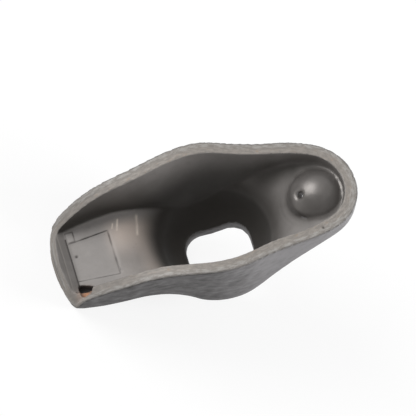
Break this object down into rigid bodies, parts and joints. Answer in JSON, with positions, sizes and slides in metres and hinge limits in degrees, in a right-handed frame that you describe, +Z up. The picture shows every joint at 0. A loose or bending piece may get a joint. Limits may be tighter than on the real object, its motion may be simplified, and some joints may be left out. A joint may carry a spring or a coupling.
{
  "type": "stamped steel ball-pivot rocker arm",
  "caption": "Stamped steel rocker arm: open channel with a ball seat and stud slot, a domed pushrod socket and a flat valve tip.",
  "frame": {"origin": "centre of the ball seat, which is the centre of the pivot ball's spherical underside", "axes": "+Z up with the arm lying at rest on its bowl and valve tip; +X towards the pushrod end; +Y across the arm, which is symmetric about the XZ plane"},
  "size_m": [0.0566, 0.0302, 0.0348],
  "materials": {
    "steel": "oiled, phosphate-grey pressed steel with sheared bare edges"
  },
  "bodies": {
    "root": {"rocker_arm": "steel"}
  },
  "joints": []
}
